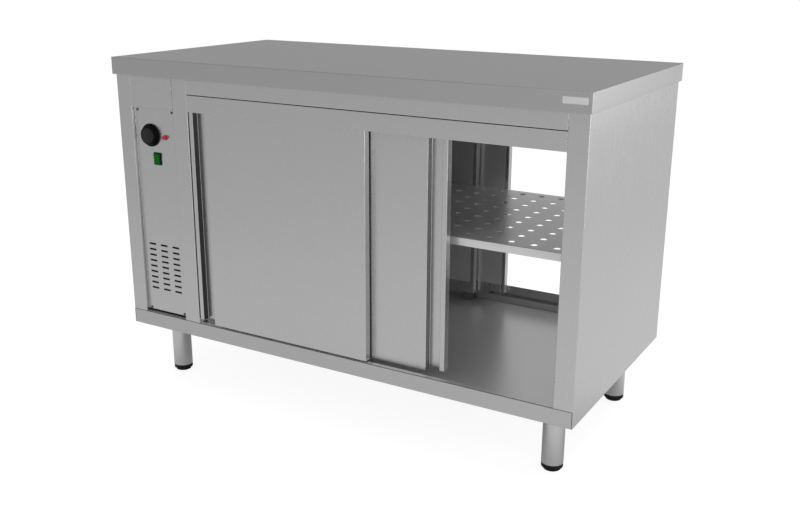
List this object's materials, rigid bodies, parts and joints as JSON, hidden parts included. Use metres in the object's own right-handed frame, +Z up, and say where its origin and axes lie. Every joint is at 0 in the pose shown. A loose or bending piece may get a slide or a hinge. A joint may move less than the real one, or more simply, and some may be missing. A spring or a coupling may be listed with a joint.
{
  "type": "hot food counter",
  "caption": "Free-standing stainless steel hot cupboard with a flat worktop, a perforated shelf, sliding doors on both long sides and a control bay at one end.",
  "frame": {"origin": "middle of the footprint on the floor, under the feet", "axes": "+X towards the end without controls, -Y towards the serving front, +Z up"},
  "size_m": [1.2, 0.6, 0.82],
  "materials": {
    "stainless_steel": "brushed stainless sheet, satin",
    "folded_steel": "plain mill-finish folded sheet",
    "black_plastic": "matt moulded black",
    "knob_black": "satin moulded black",
    "lamp_red": "clear red lens",
    "switch_black": "moulded black, slightly glossy",
    "rocker_green": "green translucent key",
    "nylon": "natural nylon",
    "heater_sheath": "heat-darkened steel sheath",
    "ceramic": "unglazed off-white"
  },
  "bodies": {
    "cabinet": {"worktop": "stainless_steel", "left_side_panel": "stainless_steel", "right_side_panel": "stainless_steel", "base_tray": "stainless_steel", "front_header": "stainless_steel", "rear_header": "stainless_steel", "front_divider": "stainless_steel", "rear_divider": "stainless_steel", "bay_filler": "stainless_steel", "rear_sill": "stainless_steel", "control_panel": "stainless_steel", "rear_bay_cover": "stainless_steel", "perforated_shelf": "stainless_steel", "partition_wall": "stainless_steel", "legs": "stainless_steel", "front_door_track": "stainless_steel", "rear_door_track": "stainless_steel", "top_stiffeners": "folded_steel", "leg_channels": "folded_steel", "air_duct": "folded_steel", "shelf_ledges": "folded_steel", "panel_screws": "stainless_steel", "leg_inserts": "black_plastic", "front_floor_guide": "nylon", "rear_floor_guide": "nylon", "fan_frame": "black_plastic", "heater_bank": "heater_sheath", "cable_gland": "black_plastic", "thermostat_body": "folded_steel", "lamp_lens": "lamp_red", "lamp_barrel": "black_plastic", "switch_housing": "switch_black", "terminal_block": "ceramic"},
    "front_left_door": {"front_left_door_skin": "stainless_steel", "front_left_door_liner": "stainless_steel", "front_left_door_hangers": "folded_steel"},
    "front_left_grip_roller": {"front_left_grip_roller": "nylon"},
    "front_left_tail_roller": {"front_left_tail_roller": "nylon"},
    "front_right_door": {"front_right_door_skin": "stainless_steel", "front_right_door_liner": "stainless_steel", "front_right_door_hangers": "folded_steel"},
    "front_right_grip_roller": {"front_right_grip_roller": "nylon"},
    "front_right_tail_roller": {"front_right_tail_roller": "nylon"},
    "rear_left_door": {"rear_left_door_skin": "stainless_steel", "rear_left_door_liner": "stainless_steel", "rear_left_door_hangers": "folded_steel"},
    "rear_left_grip_roller": {"rear_left_grip_roller": "nylon"},
    "rear_left_tail_roller": {"rear_left_tail_roller": "nylon"},
    "rear_right_door": {"rear_right_door_skin": "stainless_steel", "rear_right_door_liner": "stainless_steel", "rear_right_door_hangers": "folded_steel"},
    "rear_right_grip_roller": {"rear_right_grip_roller": "nylon"},
    "rear_right_tail_roller": {"rear_right_tail_roller": "nylon"},
    "front_left_foot": {"front_left_foot": "black_plastic"},
    "rear_left_foot": {"rear_left_foot": "black_plastic"},
    "front_right_foot": {"front_right_foot": "black_plastic"},
    "rear_right_foot": {"rear_right_foot": "black_plastic"},
    "thermostat_knob": {"thermostat_knob": "knob_black"},
    "switch_rocker": {"switch_rocker": "rocker_green"},
    "fan_rotor": {"fan_rotor": "black_plastic"}
  },
  "joints": [
    {"name": "front_left_door_slide", "type": "slide", "parent": "cabinet", "child": "front_left_door", "axis": [1, 0, 0], "range_m": [0, 0.444]},
    {"name": "front_left_grip_roller_spin", "type": "hinge", "parent": "front_left_door", "child": "front_left_grip_roller", "pos_m": [-0.2655, -0.2824, 0.7301], "axis": [0, 1, 0], "continuous": true},
    {"name": "front_left_tail_roller_spin", "type": "hinge", "parent": "front_left_door", "child": "front_left_tail_roller", "pos_m": [-0.0035, -0.2824, 0.7301], "axis": [0, 1, 0], "continuous": true},
    {"name": "front_right_door_slide", "type": "slide", "parent": "cabinet", "child": "front_right_door", "axis": [1, 0, 0], "range_m": [-0.185, 0.259]},
    {"name": "front_right_grip_roller_spin", "type": "hinge", "parent": "front_right_door", "child": "front_right_grip_roller", "pos_m": [0.1815, -0.2604, 0.7301], "axis": [0, 1, 0], "continuous": true},
    {"name": "front_right_tail_roller_spin", "type": "hinge", "parent": "front_right_door", "child": "front_right_tail_roller", "pos_m": [-0.0805, -0.2604, 0.7301], "axis": [0, 1, 0], "continuous": true},
    {"name": "rear_left_door_slide", "type": "slide", "parent": "cabinet", "child": "rear_left_door", "axis": [1, 0, 0], "range_m": [0, 0.444]},
    {"name": "rear_left_grip_roller_spin", "type": "hinge", "parent": "rear_left_door", "child": "rear_left_grip_roller", "pos_m": [-0.2655, 0.2604, 0.7301], "axis": [0, 1, 0], "continuous": true},
    {"name": "rear_left_tail_roller_spin", "type": "hinge", "parent": "rear_left_door", "child": "rear_left_tail_roller", "pos_m": [-0.0035, 0.2604, 0.7301], "axis": [0, 1, 0], "continuous": true},
    {"name": "rear_right_door_slide", "type": "slide", "parent": "cabinet", "child": "rear_right_door", "axis": [1, 0, 0], "range_m": [-0.0805, 0.3635]},
    {"name": "rear_right_grip_roller_spin", "type": "hinge", "parent": "rear_right_door", "child": "rear_right_grip_roller", "pos_m": [0.077, 0.2824, 0.7301], "axis": [0, 1, 0], "continuous": true},
    {"name": "rear_right_tail_roller_spin", "type": "hinge", "parent": "rear_right_door", "child": "rear_right_tail_roller", "pos_m": [-0.185, 0.2824, 0.7301], "axis": [0, 1, 0], "continuous": true},
    {"name": "front_left_foot_screw", "type": "slide", "parent": "cabinet", "child": "front_left_foot", "axis": [0, 0, 1], "range_m": [-0.025, 0]},
    {"name": "rear_left_foot_screw", "type": "slide", "parent": "cabinet", "child": "rear_left_foot", "axis": [0, 0, 1], "range_m": [-0.025, 0]},
    {"name": "front_right_foot_screw", "type": "slide", "parent": "cabinet", "child": "front_right_foot", "axis": [0, 0, 1], "range_m": [-0.025, 0]},
    {"name": "rear_right_foot_screw", "type": "slide", "parent": "cabinet", "child": "rear_right_foot", "axis": [0, 0, 1], "range_m": [-0.025, 0]},
    {"name": "thermostat_turn", "type": "hinge", "parent": "cabinet", "child": "thermostat_knob", "pos_m": [-0.503, -0.284, 0.639], "axis": [0, 1, 0], "range_deg": [0, 270]},
    {"name": "switch_rock", "type": "hinge", "parent": "cabinet", "child": "switch_rocker", "pos_m": [-0.486, -0.285, 0.583], "axis": [-1, 0, 0], "range_deg": [0, 16]},
    {"name": "fan_spin", "type": "hinge", "parent": "cabinet", "child": "fan_rotor", "pos_m": [-0.39, 0, 0.6], "axis": [1, 0, 0], "continuous": true}
  ],
  "couplings": [
    {"joint": "front_left_grip_roller_spin", "follows": "front_left_door_slide", "rad_per_m": 142.86},
    {"joint": "front_left_tail_roller_spin", "follows": "front_left_door_slide", "rad_per_m": 142.86},
    {"joint": "front_right_grip_roller_spin", "follows": "front_right_door_slide", "rad_per_m": 142.86},
    {"joint": "front_right_tail_roller_spin", "follows": "front_right_door_slide", "rad_per_m": 142.86},
    {"joint": "rear_left_grip_roller_spin", "follows": "rear_left_door_slide", "rad_per_m": 142.86},
    {"joint": "rear_left_tail_roller_spin", "follows": "rear_left_door_slide", "rad_per_m": 142.86},
    {"joint": "rear_right_grip_roller_spin", "follows": "rear_right_door_slide", "rad_per_m": 142.86},
    {"joint": "rear_right_tail_roller_spin", "follows": "rear_right_door_slide", "rad_per_m": 142.86}
  ]
}
